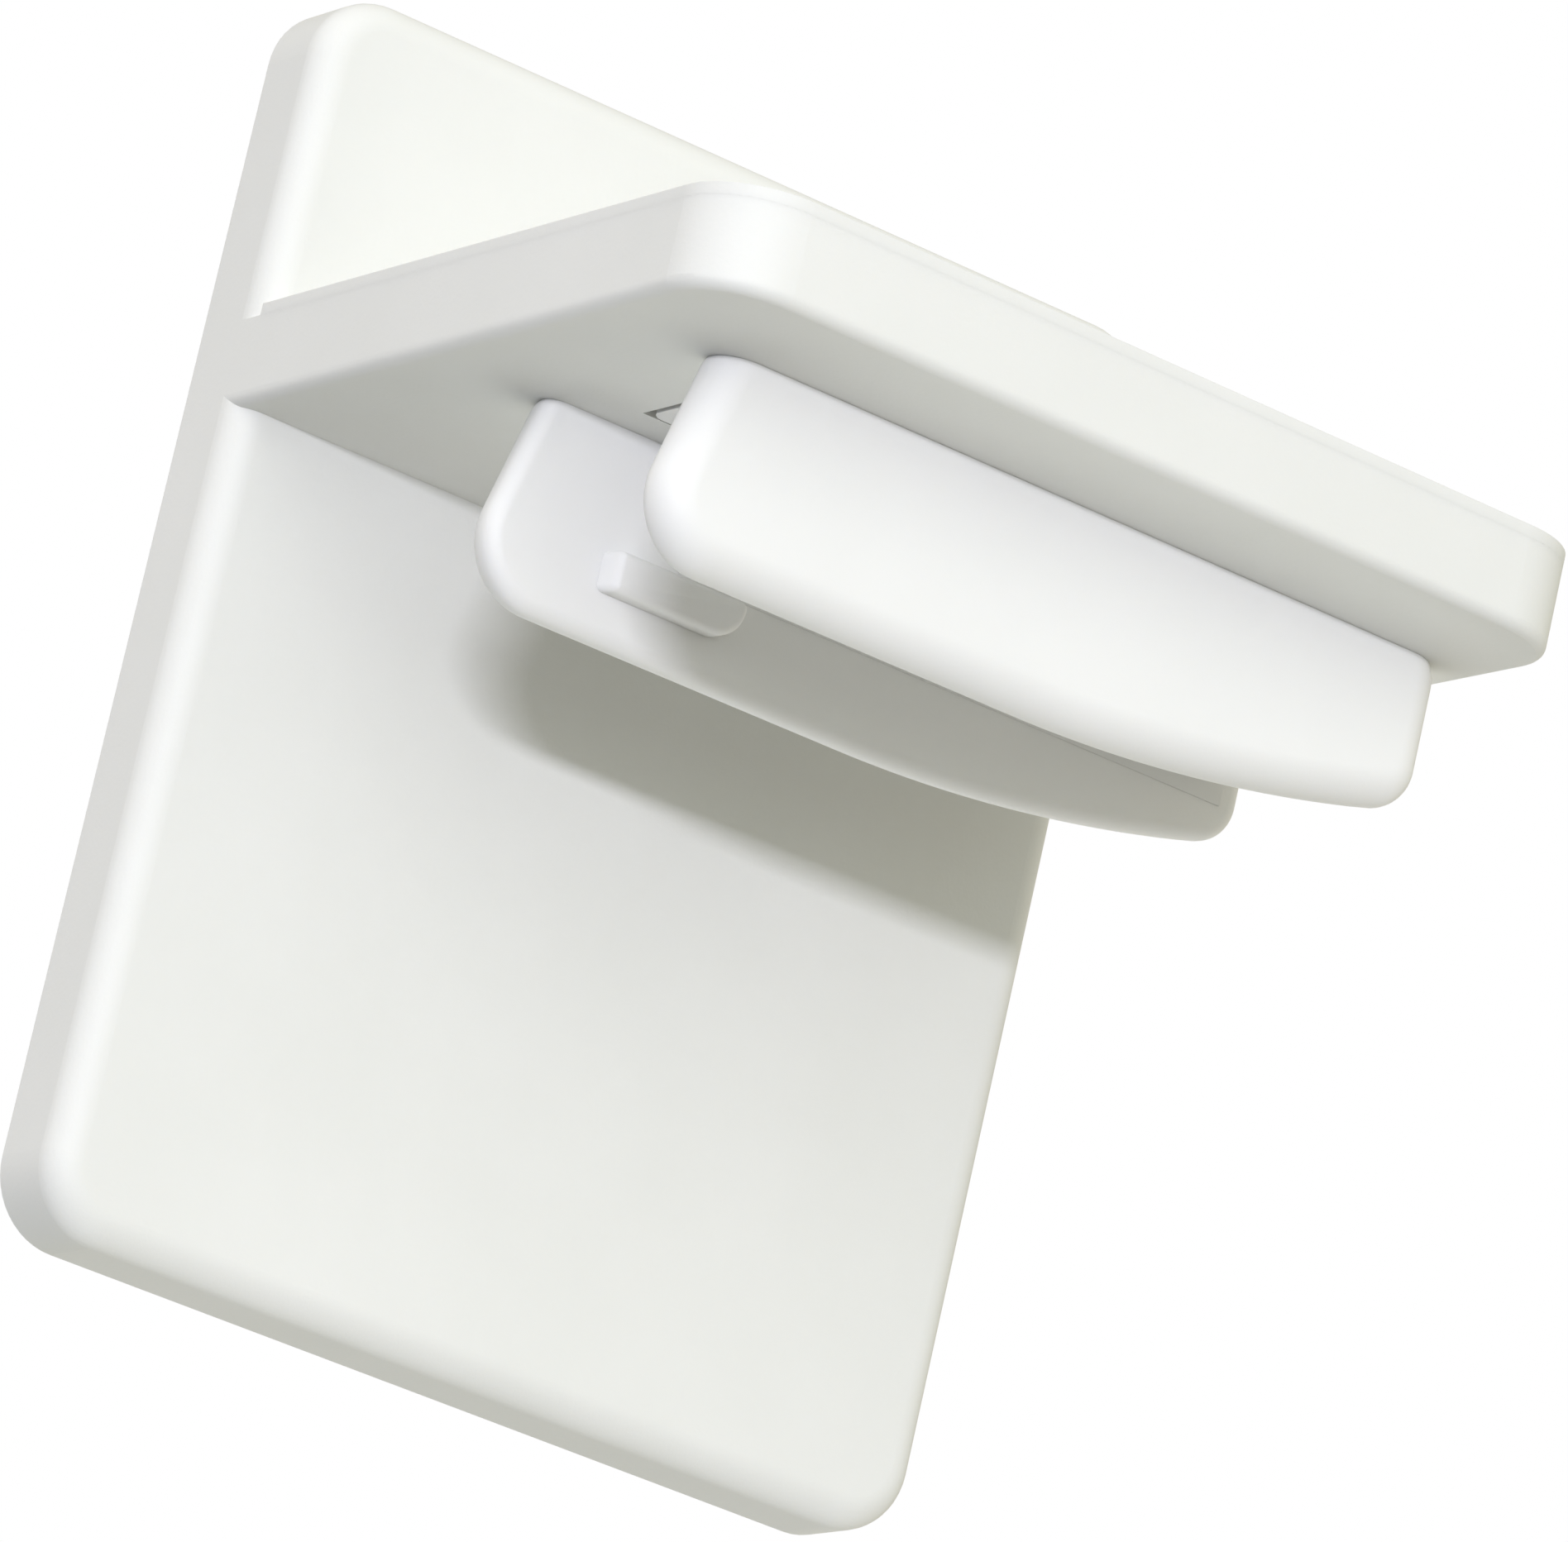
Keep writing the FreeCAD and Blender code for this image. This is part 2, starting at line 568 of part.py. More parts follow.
# ---------------------------------------------------------------- carriage that carries the shoe
def slide_carriage():
    runner = box("runner", CARRIAGE_X, f"{MIDDLE} - carriage_width / 2", CARRIAGE_BASE,
                 f"{CARRIAGE_END} - {CARRIAGE_X}", "carriage_width", "carriage_wall")
    runner = rounded("runner_corners", runner, size("edge_round"), along_z)
    key = box("key", KEY_X, f"{MIDDLE} - key_width / 2", SHOE_TOP, "key_length", "key_width",
              f"{CARRIAGE_TOP} - {SHOE_TOP}")
    key = rounded("key_corners", key, size("edge_round") / 2, along_z)
    seats = []
    holes = []
    for i, side in enumerate("-+"):
        seats.append(centred_box(f"spring_seat_{i}", f"{CARRIAGE_END} - seat_length / 2",
                                 f"{MIDDLE} {side} spring_spacing / 2", CARRIAGE_BASE, "seat_length", "seat_width",
                                 "2 * spring_radius + run_gap"))
        across = f"{SHOE_SCREWS_X} - {i} * shoe_screw_spacing"
        holes += screw_hole(f"carriage_hole_{i}", across, MIDDLE, CARRIAGE_TOP, "shoe_screw_length")
    holes += screw_hole("thumb_pilot", NECK_MIDDLE, MIDDLE, PAD_BED, f"{THUMB_SCREW} + screw_gap", head=False)
    return cut("slide_carriage", fuse("carriage_blank", [runner, key] + seats), holes)


def carriage_screws():
    items = []
    for i in range(2):
        across = f"{SHOE_SCREWS_X} - {i} * shoe_screw_spacing"
        items.append(screw(f"carriage_screw_{i}", across, MIDDLE, CARRIAGE_TOP, "shoe_screw_length"))
    return group("carriage_screws", items)


# ---------------------------------------------------------------- thumb slide, its pad and its screw
def thumb_slide():
    neck = box("thumb_neck", NECK_X, f"{MIDDLE} - neck_width / 2", CARRIAGE_TOP, "neck_length", "neck_width",
               f"{GRIP_BASE} - {CARRIAGE_TOP} + grip_height / 2")
    grip = centred_box("thumb_grip", NECK_MIDDLE, MIDDLE, GRIP_BASE, "grip_length", "grip_width", "grip_height")
    grip = rounded("grip_corners", grip, 2 * size("grip_round"), along_z)
    top = size("shelf_base") + size("shelf_depth") + size("grip_gap") + size("grip_height")
    grip = rounded("grip_top", grip, size("grip_round"), lambda b: near(b.ZMin, top) and near(b.ZMax, top))
    bed = centred_box("pad_bed", NECK_MIDDLE, MIDDLE, PAD_BED, "pad_length", "pad_width",
                      "2 * pad_sink")
    bed = rounded("pad_bed_corners", bed, size("grip_round"), along_z)
    hole = screw_hole("thumb_hole", NECK_MIDDLE, MIDDLE, PAD_BED, THUMB_SCREW)
    return cut("thumb_slide", fuse("thumb_blank", [neck, grip]), [bed] + hole)


def thumb_pad():
    inner = "touch_gap * 2"
    pad = centred_box("pad_sheet", NECK_MIDDLE, MIDDLE, f"{PAD_BED} + touch_gap",
                      f"pad_length - {inner}", f"pad_width - {inner}", "pad_sink")
    pad = rounded("pad_corners", pad, size("grip_round"), along_z)
    ribs = []
    for i in range(-2, 3):
        ribs.append(centred_box(f"pad_rib_{i + 2}", f"{NECK_MIDDLE} + {i} * pad_rib_pitch", MIDDLE,
                                f"{GRIP_TOP}", "pad_rib * 1.6", f"pad_width - 3 * pad_rib", "pad_rib"))
    return fuse("thumb_pad", [pad] + ribs)


def thumb_screw():
    return screw("thumb_screw", NECK_MIDDLE, MIDDLE, PAD_BED, THUMB_SCREW)


# ---------------------------------------------------------------- springs, guide pins, buffer
def return_spring(label, side):
    """A compression spring along X, from the carriage's seat to the tray's end wall."""
    owner = body(label)
    ring = owner.newObject("Sketcher::SketchObject", f"{label}_wire")
    ring.AttachmentSupport = [(plane(owner, "XZ_Plane"), "")]
    ring.MapMode = "FlatFace"
    mean = size("spring_radius") - size("spring_wire") / 2
    centre = FreeCAD.Vector(mean, size("spring_wire") / 2, 0)
    ring.addGeometry(Part.Circle(centre, FreeCAD.Vector(0, 0, 1), size("spring_wire") / 2))
    rule = Sketcher.Constraint
    sizes = [
        (rule("DistanceX", -1, 1, 0, 3, mean), "spring_radius - spring_wire / 2"),
        (rule("DistanceY", -1, 1, 0, 3, centre.y), "spring_wire / 2"),
        (rule("Radius", 0, size("spring_wire") / 2), "spring_wire / 2"),
    ]
    for constraint, text in sizes:
        index = ring.addConstraint(constraint)
        ring.setExpression(f"Constraints[{index}]", dims(text))
    coil = owner.newObject("PartDesign::AdditiveHelix", f"{label}_coil")
    coil.Profile = ring
    coil.ReferenceAxis = (ring, ["V_Axis"])
    coil.Mode = "pitch-height-angle"
    length = f"({TRAY_END} - {CARRIAGE_END} - 2 * touch_gap - spring_wire)"
    bind(coil, Height=length, Pitch=f"{length} / spring_turns")
    place(owner, f"{CARRIAGE_END} + touch_gap", f"{MIDDLE} {side} spring_spacing / 2", SPRING_LEVEL, TO_X)
    return owner


def spring_guide_pins():
    items = []
    for i, side in enumerate("-+"):
        pin = rod(f"guide_pin_{i}", f"{CARRIAGE_END} + travel + pin_tip_gap",
                  f"{MIDDLE} {side} spring_spacing / 2", SPRING_LEVEL, "pin_radius",
                  f"{TRAY_END} + pin_seat - {CARRIAGE_END} - travel - pin_tip_gap", TO_X)
        items.append(pin)
    return group("spring_guide_pins", items)


def stop_buffer():
    item = box("stop_buffer_block", f"{CARRIAGE_X} - buffer_length - touch_gap", f"{MIDDLE} - buffer_width / 2",
               FLOOR_TOP, "buffer_length", "buffer_width", "buffer_height")
    return rounded("stop_buffer", item, size("spring_wire"), along_z)


# ---------------------------------------------------------------- wall plate and its lock screws
def wall_plate():
    wide = "(plate_width - 2 * rim_wall - 2 * back_gap)"
    tall = "(plate_height - 2 * rim_wall - 2 * back_gap)"
    slab = box("back_slab", f"0 - {wide} / 2", "0 - back_wall", f"0 - {tall} / 2", wide, "back_wall", tall)
    slab = rounded("back_corners", slab, size("back_corner"), along_y)
    lug_depth = "(plate_depth - face_wall - lug_gap)"
    lugs = []
    holes = []
    for i, side in enumerate("-+"):
        x = f"0 {side} ledge_spacing / 2"
        lugs.append(centred_box(f"lug_{i}", x, f"0 - {lug_depth} / 2", f"{BACK_TOP} - lug_height",
                                "lug_width", lug_depth, "lug_height"))
        holes.append(centred_box(f"ledge_relief_{i}", x, "0 - (ledge_wall + ledge_gap) / 2",
                                 f"0 - {tall} / 2 - 1", "ledge_width + 2 * ledge_gap",
                                 "ledge_wall + ledge_gap", "1 + ledge_height + ledge_gap"))
        holes += screw_hole(f"lock_pilot_{i}", x, "0 - lock_axis", "plate_height / 2",
                            "lock_screw_length + screw_gap", head=False)
        for j, level in enumerate("-+"):
            spot = (f"0 {side} wall_hole_width / 2", f"0 {level} wall_hole_height / 2")
            holes.append(rod(f"wall_hole_{i}{j}", spot[0], "0 - 2 * back_wall", spot[1], "wall_hole_radius",
                             "3 * back_wall", TO_Y))
            holes.append(taper(f"wall_sink_{i}{j}", spot[0], "0 - back_wall", spot[1], "wall_head_radius",
                               "wall_hole_radius", "wall_head_radius - wall_hole_radius", TO_Y))
    return cut("wall_plate", fuse("back_blank", [slab] + lugs), holes)


def lock_screws():
    items = []
    for i, side in enumerate("-+"):
        items.append(screw(f"lock_screw_{i}", f"0 {side} ledge_spacing / 2", "0 - lock_axis", "plate_height / 2",
                           "lock_screw_length"))
    return group("lock_screws", items)


PIECES = [
    wall_plate(),
    bracket_body(),
    lock_screws(),
    shelf_cover(),
    cover_screws(),
    catch_shoe(),
    slide_carriage(),
    carriage_screws(),
    thumb_slide(),
    thumb_pad(),
    thumb_screw(),
    return_spring("return_spring_front", "-"),
    return_spring("return_spring_rear", "+"),
    spring_guide_pins(),
    stop_buffer(),
]
doc.recompute()

faults = [o.Label for o in doc.Objects if "Invalid" in o.State or "Error" in o.State]
for piece in PIECES:
    if piece.Shape.isNull() or not piece.Shape.isValid() or not piece.Shape.Solids:
        faults.append(piece.Label)
if faults:
    raise RuntimeError(f"failed objects: {faults}")

os.makedirs("parts", exist_ok=True)
for piece in PIECES:
    piece.Shape.exportStep(f"parts/{piece.Label}.step")
    print(piece.Label, len(piece.Shape.Solids), round(piece.Shape.Volume, 1))
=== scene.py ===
"""Stair gate latch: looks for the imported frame. Metres, same frame as the CAD model."""

import json
import math

import bmesh
import bpy
from mathutils import Matrix, Vector


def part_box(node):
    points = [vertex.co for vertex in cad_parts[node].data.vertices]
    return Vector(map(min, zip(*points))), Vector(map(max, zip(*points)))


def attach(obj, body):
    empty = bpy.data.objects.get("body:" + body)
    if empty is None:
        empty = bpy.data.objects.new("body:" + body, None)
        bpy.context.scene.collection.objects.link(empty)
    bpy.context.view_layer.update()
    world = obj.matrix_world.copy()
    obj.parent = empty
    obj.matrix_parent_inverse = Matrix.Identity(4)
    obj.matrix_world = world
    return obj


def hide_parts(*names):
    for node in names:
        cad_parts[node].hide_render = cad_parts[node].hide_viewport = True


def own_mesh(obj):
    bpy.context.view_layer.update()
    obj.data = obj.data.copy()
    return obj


MM = 0.001
IMAGE_WIDTH = 1896

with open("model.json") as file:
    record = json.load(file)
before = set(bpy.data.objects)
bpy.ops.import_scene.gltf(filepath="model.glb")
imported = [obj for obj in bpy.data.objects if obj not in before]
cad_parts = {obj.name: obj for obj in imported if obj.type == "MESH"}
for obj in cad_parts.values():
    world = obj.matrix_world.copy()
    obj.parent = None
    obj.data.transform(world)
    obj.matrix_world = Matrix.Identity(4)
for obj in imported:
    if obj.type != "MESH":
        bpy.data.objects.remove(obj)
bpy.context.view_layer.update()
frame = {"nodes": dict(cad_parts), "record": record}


# ---------------------------------------------------------------- materials
def new_material(name):
    material = bpy.data.materials.new(name)
    material.use_nodes = True
    tree = material.node_tree
    tree.nodes.clear()
    out = tree.nodes.new("ShaderNodeOutputMaterial")
    shader = tree.nodes.new("ShaderNodeBsdfPrincipled")
    tree.links.new(shader.outputs["BSDF"], out.inputs["Surface"])
    return material, tree, shader


def noise(tree, scale, detail=2.0, roughness=0.5):
    """Noise in the object's own space, where scale is in cycles per metre."""
    at = tree.nodes.new("ShaderNodeTexCoord")
    node = tree.nodes.new("ShaderNodeTexNoise")
    node.inputs["Scale"].default_value = scale
    node.inputs["Detail"].default_value = detail
    node.inputs["Roughness"].default_value = roughness
    tree.links.new(at.outputs["Object"], node.inputs["Vector"])
    return node.outputs["Fac"]


def ramp(tree, fac, low, high, start=0.0, end=1.0):
    """Blends from one colour or value to another as fac goes from start to end."""
    node = tree.nodes.new("ShaderNodeValToRGB")
    node.color_ramp.elements[0].position = start
    node.color_ramp.elements[1].position = end
    for element, value in zip(node.color_ramp.elements, (low, high)):
        element.color = (*value, 1.0) if isinstance(value, tuple) else (value, value, value, 1.0)
    tree.links.new(fac, node.inputs["Fac"])
    return node.outputs["Color"]


def bump(tree, height, depth, below=None):
    node = tree.nodes.new("ShaderNodeBump")
    node.inputs["Strength"].default_value = 1.0
    node.inputs["Distance"].default_value = depth
    tree.links.new(height, node.inputs["Height"])
    if below is not None:
        tree.links.new(below, node.inputs["Normal"])
    return node.outputs["Normal"]


def moulded_plastic(name, low, high, rough, grain):
    """Satin moulded plastic: faint clouding of its colour, a fine grain and a slight waviness."""
    material, tree, shader = new_material(name)
    clouds = noise(tree, 90.0, 3.0)
    tree.links.new(ramp(tree, clouds, low, high, 0.3, 0.7), shader.inputs["Base Color"])
    fine = noise(tree, 3600.0, 3.0, 0.6)
    tree.links.new(ramp(tree, fine, rough - 0.06, rough + 0.06, 0.3, 0.7), shader.inputs["Roughness"])
    wavy = bump(tree, noise(tree, 70.0, 1.0), 0.00006)
    tree.links.new(bump(tree, fine, grain, wavy), shader.inputs["Normal"])
    shader.inputs["IOR"].default_value = 1.46
    shader.inputs["Specular IOR Level"].default_value = 0.5
    shader.inputs["Subsurface Weight"].default_value = 0.12
    shader.inputs["Subsurface Radius"].default_value = (1.0, 0.9, 0.75)
    shader.inputs["Subsurface Scale"].default_value = 0.0012
    return material


def metal(name, low, high, rough):
    material, tree, shader = new_material(name)
    marks = noise(tree, 1500.0, 4.0)
    tree.links.new(ramp(tree, marks, low, high, 0.3, 0.7), shader.inputs["Base Color"])
    tree.links.new(ramp(tree, noise(tree, 900.0, 3.0), rough - 0.08, rough + 0.1), shader.inputs["Roughness"])
    tree.links.new(bump(tree, marks, 0.000006), shader.inputs["Normal"])
    shader.inputs["Metallic"].default_value = 1.0
    return material


def rubber(name, low, high):
    material, tree, shader = new_material(name)
    grain = noise(tree, 2600.0, 4.0, 0.6)
    tree.links.new(ramp(tree, grain, low, high, 0.3, 0.7), shader.inputs["Base Color"])
    tree.links.new(ramp(tree, noise(tree, 500.0), 0.62, 0.78), shader.inputs["Roughness"])
    tree.links.new(bump(tree, grain, 0.00003), shader.inputs["Normal"])
    return material


WHITE = moulded_plastic("white_plastic", (0.791, 0.800, 0.768), (0.814, 0.822, 0.793), 0.62, 0.000012)
WHITE_SHOE = moulded_plastic("white_plastic_shoe", (0.856, 0.862, 0.846), (0.876, 0.881, 0.866),
                             0.58, 0.000006)
STEEL = metal("screw_steel", (0.62, 0.62, 0.63), (0.72, 0.72, 0.73), 0.34)
SPRING = metal("spring_steel", (0.55, 0.55, 0.56), (0.66, 0.66, 0.68), 0.28)
RUBBER = rubber("grey_rubber", (0.30, 0.31, 0.32), (0.36, 0.37, 0.38))
FINISH = {"white_plastic": WHITE, "white_plastic_shoe": WHITE_SHOE, "screw_steel": STEEL,
          "spring_steel": SPRING, "grey_rubber": RUBBER}

for part in frame["record"]["subparts"]:
    node = frame["nodes"][part["node"]]
    node.data.materials.clear()
    node.data.materials.append(FINISH[part["material_slot"]])


# ---------------------------------------------------------------- mesh building
def rounded_loop(corners, arc_step=math.radians(5)):
    """A closed outline from (x, z, radius) corners, counter-clockwise, as (point, outward normal) pairs.

    A corner without a radius is a point on a smooth curve."""
    loop = []
    count = len(corners)
    for i, (x, z, radius) in enumerate(corners):
        here = Vector((x, z))
        before = (here - Vector(corners[i - 1][:2])).normalized()
        after = (Vector(corners[(i + 1) % count][:2]) - here).normalized()
        first = Vector((before.y, -before.x))
        last = Vector((after.y, -after.x))
        if radius == 0:
            loop.append((here, (first + last).normalized()))
            continue
        turn = first.angle(last)
        centre = here - before * (radius * math.tan(turn / 2)) - first * radius
        steps = max(2, math.ceil(turn / arc_step))
        start = math.atan2(first.y, first.x)
        for k in range(steps + 1):
            angle = start + turn * k / steps
            normal = Vector((math.cos(angle), math.sin(angle)))
            loop.append((centre + normal * radius, normal))
    return loop


class Form:
    """Collects the vertices and faces of one piece."""

    def __init__(self):
        self.verts = []
        self.faces = []

    def rings(self, rings):
        """Joins closed rings of equal length with quads, and closes both ends."""
        start = len(self.verts)
        count = len(rings[0])
        for ring in rings:
            self.verts.extend(ring)
        for r in range(len(rings) - 1):
            for i in range(count):
                j = (i + 1) % count
                a, b = start + r * count, start + (r + 1) * count
                self.faces.append((a + i, a + j, b + j, b + i))
        self.faces.append(tuple(start + i for i in reversed(range(count))))
        self.faces.append(tuple(start + (len(rings) - 1) * count + i for i in range(count)))

    def slab(self, loop, near_y, far_y, near_round, far_round, steps=10, shift=None):
        """The outline carried from near_y to far_y, with a quarter-round edge at each end."""
        levels = []
        for k in range(steps + 1 if near_round else 1):
            angle = math.pi / 2 * k / steps if near_round else math.pi / 2
            levels.append((near_y + near_round * (1 - math.cos(angle)), near_round * (1 - math.sin(angle))))
        for k in range(steps + 1 if far_round else 1):
            angle = math.pi / 2 * (1 - k / steps) if far_round else math.pi / 2
            levels.append((far_y - far_round * (1 - math.cos(angle)), far_round * (1 - math.sin(angle))))
        rings = []
        for y, inset in levels:
            ring = []
            for point, normal in loop:
                inner = point - normal * inset
                x = inner.x + (shift(inner.x, y) if shift else 0.0)
                ring.append((x * MM, y * MM, inner.y * MM))
            rings.append(ring)
        self.rings(rings)

    def trim_above(self, level):
        """Cuts everything so far off flat at a height."""
        work = bmesh.new()
        verts = [work.verts.new(v) for v in self.verts]
        for face in self.faces:
            work.faces.new([verts[i] for i in face])
        everything = work.verts[:] + work.edges[:] + work.faces[:]
        bmesh.ops.bisect_plane(work, geom=everything, plane_co=(0, 0, level * MM), plane_no=(0, 0, 1),
                               clear_outer=True)
        bmesh.ops.holes_fill(work, edges=[e for e in work.edges if e.is_boundary], sides=0)
        work.verts.index_update()
        self.verts = [tuple(v.co) for v in work.verts]
        self.faces = [tuple(v.index for v in f.verts) for f in work.faces]
        work.free()

    def object(self, name, material, body, nodes, sharp=35.0):
        mesh = bpy.data.meshes.new(name)
        mesh.from_pydata(self.verts, [], self.faces)
        work = bmesh.new()
        work.from_mesh(mesh)
        bmesh.ops.recalc_face_normals(work, faces=work.faces)
        work.to_mesh(mesh)
        work.free()
        mesh.shade_smooth()
        mesh.set_sharp_from_angle(angle=math.radians(sharp))
        mesh.materials.append(material)
        piece = bpy.data.objects.new(name, mesh)
        bpy.context.scene.collection.objects.link(piece)
        weighted = piece.modifiers.new("even_normals", "WEIGHTED_NORMAL")
        weighted.keep_sharp = True
        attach(piece, body)
        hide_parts(*nodes)
        return piece


def node_box(node):
    """A CAD node's lowest and highest corners in millimetres."""
    low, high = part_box(node)
    return Vector(low) / MM, Vector(high) / MM


# ---------------------------------------------------------------- catch shoe
SHOE_LENGTH = 53.55
CHEEK_WALL = 3.0
CHEEK_ROUND = 2.0
INNER_ROUND = 0.9
HOOK_ROUND = 4.2
END_ROUND = 2.6
HOOK_UNDERCUT = 3.3
CROWN_TRIM = 1.3
RAMP_START = 27.1
RAMP_RADIUS = 95.0
RAMP_END_RUN = 3.2
RAMP_STEPS = 24
WEB_START, WEB_SETBACK, WEB_HEIGHT, WEB_ROUND = 13.5, 2.45, 4.7, 0.3
RAIL_LEVEL, RAIL_PROUD, RAIL_SETBACK, RAIL_DROP = 5.35, 0.05, 1.45, 1.5
RAIL_ROUND, RAIL_EDGE = 0.15, 0.03
NUB_START, NUB_LENGTH, NUB_HEIGHT, NUB_LIFT = 8.5, 9.3, 2.4, 2.7
NUB_PROUD, NUB_ROUND, NUB_SLANT, NUB_EDGE = 1.3, 1.9, 0.55, 0.45
NUB_STEPS = 6
NUB_SLANT_REACH = 2.0
# How far web, rails and nubs reach into the cheeks.
SUNK = 0.2
# The running gap under the shelf is filled this far, as it would show as a black line.
GAP_HIDDEN = 0.07


def cheek_loop(left, right, low, top):
    """Side view of a cheek, counter-clockwise seen from the front."""
    turn = left + RAMP_START
    reach = right - turn

    def rise(run):
        return RAMP_RADIUS - math.sqrt(RAMP_RADIUS ** 2 - run ** 2)

    corners = [(left, low, HOOK_ROUND)]
    for k in range(RAMP_STEPS + 1):
        run = (reach - RAMP_END_RUN) * k / RAMP_STEPS
        corners.append((turn + run, low + rise(run), 0))
    corners.append((right, low + rise(reach), END_ROUND))
    corners.append((right, top, END_ROUND))
    corners.append((left + HOOK_UNDERCUT, top, END_ROUND))
    return rounded_loop(corners)


def rectangle(left, right, low, high, radius, right_low=None):
    return rounded_loop([(left, low, radius), (right, low, radius if right_low is None else right_low),
                         (right, high, radius), (left, high, radius)])


def catch_shoe():
    """Two cheeks joined by a web, each with a rail under the web and a snap nub near its hooked end."""
    (_, front, low), (right, rear, top) = node_box("catch_shoe")
    left = right - SHOE_LENGTH
    form = Form()
    loop = cheek_loop(left, right, low, top + CROWN_TRIM)
    form.slab(loop, front, front + CHEEK_WALL, CHEEK_ROUND, INNER_ROUND)
    form.slab(loop, rear - CHEEK_WALL, rear, INNER_ROUND, CHEEK_ROUND)
    form.trim_above(top + GAP_HIDDEN)
    front_face, rear_face = front + CHEEK_WALL, rear - CHEEK_WALL
    web = rectangle(left + WEB_START, right - WEB_SETBACK, top - WEB_HEIGHT, top, WEB_ROUND)
    form.slab(web, front_face - SUNK, rear_face + SUNK, 0, 0)
    rail = rectangle(left + WEB_START, right - RAIL_SETBACK, low + RAIL_LEVEL, top - RAIL_DROP, RAIL_ROUND)
    form.slab(rail, front_face - SUNK, front_face + RAIL_PROUD, 0, RAIL_EDGE)
    form.slab(rail, rear_face - RAIL_PROUD, rear_face + SUNK, RAIL_EDGE, 0)
    nub_left = left + NUB_START
    nub_low = low + NUB_LIFT
    nub = rectangle(nub_left, nub_left + NUB_LENGTH, nub_low, nub_low + NUB_HEIGHT, NUB_EDGE, NUB_ROUND)
    centre = (front_face + rear_face) / 2

    def lean(face):
        """How far the nub's left end slants, for the nub on one cheek's inner face."""
        def shift(x, y):
            proud = max(0.0, abs(y - face)) / NUB_PROUD if (y - face) * (centre - face) > 0 else 0.0
            near = max(0.0, 1 - (x - nub_left) / NUB_SLANT_REACH)
            return NUB_SLANT * min(1.0, proud) * near
        return shift

    form.slab(nub, front_face - SUNK, front_face + NUB_PROUD, 0, NUB_EDGE, NUB_STEPS, lean(front_face))
    form.slab(nub, rear_face - NUB_PROUD, rear_face + SUNK, NUB_EDGE, 0, NUB_STEPS, lean(rear_face))
    return form.object("catch_shoe_form", WHITE_SHOE, "catch", ["catch_shoe"])


# ---------------------------------------------------------------- broken edges of the cover
def break_edges(node, width):
    """A narrow bevel, so that the parting line and the rim catch the light."""
    bevel = frame["nodes"][node].modifiers.new("broken_edges", "BEVEL")
    bevel.width = width * MM
    bevel.segments = 2
    bevel.limit_method = "ANGLE"
    bevel.angle_limit = math.radians(60)
    bevel.harden_normals = True


# ---------------------------------------------------------------- return springs
SPRING_WIRE = 0.35
SPRING_TURNS = 9
CLOSED_ENDS = 0.75
COIL_STEPS = 32
WIRE_SIDES = 10


def return_spring(node):
    """A coil with closed ends from the carriage to the tray's end wall."""
    low, high = node_box(node)
    middle_y, middle_z = (low.y + high.y) / 2, (low.z + high.z) / 2
    wire = SPRING_WIRE / 2
    coil = (high.z - low.z) / 2 - wire
    start, end = low.x + wire, high.x - wire
    turns = SPRING_TURNS + 2 * CLOSED_ENDS
    total = int(turns * COIL_STEPS)
    path = []
    for k in range(total + 1):
        share = k / total
        ease = min(1.0, max(0.0, (share * turns - CLOSED_ENDS) / SPRING_TURNS))
        angle = 2 * math.pi * share * turns
        path.append(Vector((start + (end - start) * ease, middle_y + coil * math.cos(angle),
                            middle_z + coil * math.sin(angle))))
    form = Form()
    rings = []
    for k, point in enumerate(path):
        along = (path[min(k + 1, total)] - path[max(k - 1, 0)]).normalized()
        out = (point - Vector((point.x, middle_y, middle_z))).normalized()
        side = along.cross(out).normalized()
        out = side.cross(along)
        rings.append([tuple((point + (out * math.cos(a) + side * math.sin(a)) * wire) * MM)
                      for a in (2 * math.pi * i / WIRE_SIDES for i in range(WIRE_SIDES))])
    form.rings(rings)
    piece = form.object(node + "_coil", SPRING, "bracket", [node], sharp=80.0)
    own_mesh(piece)
    return piece


catch_shoe()
break_edges("shelf_cover", 0.12)
return_spring("return_spring_front")
return_spring("return_spring_rear")


# ---------------------------------------------------------------- camera
AZIMUTH = math.radians(31.879)
ELEVATION = math.radians(-16.404)
ROLL = math.radians(12.746)
FOCAL_IMAGE = 14334.4
AIM = Vector((-0.515, -23.759, -2.656)) * MM
DISTANCE = 661.87 * MM


def add_camera():
    """Long lens below and to the left of the latch, looking up at it and rolled a little."""
    back = Vector((-math.sin(AZIMUTH) * math.cos(ELEVATION), -math.cos(AZIMUTH) * math.cos(ELEVATION),
                   math.sin(ELEVATION)))
    level = Vector((0, 0, 1)).cross(back).normalized()
    upright = back.cross(level)
    right = level * math.cos(ROLL) + upright * math.sin(ROLL)
    up = upright * math.cos(ROLL) - level * math.sin(ROLL)
    data = bpy.data.cameras.new("camera")
    data.sensor_fit = "HORIZONTAL"
    data.sensor_width = 36.0
    data.lens = FOCAL_IMAGE * data.sensor_width / IMAGE_WIDTH
    data.clip_start = 0.05
    data.clip_end = 20.0
    camera = bpy.data.objects.new("camera", data)
    turn = Matrix((right, up, back)).transposed().to_4x4()
    camera.matrix_world = Matrix.Translation(AIM + back * DISTANCE) @ turn
    bpy.context.scene.collection.objects.link(camera)
    bpy.context.scene.camera = camera


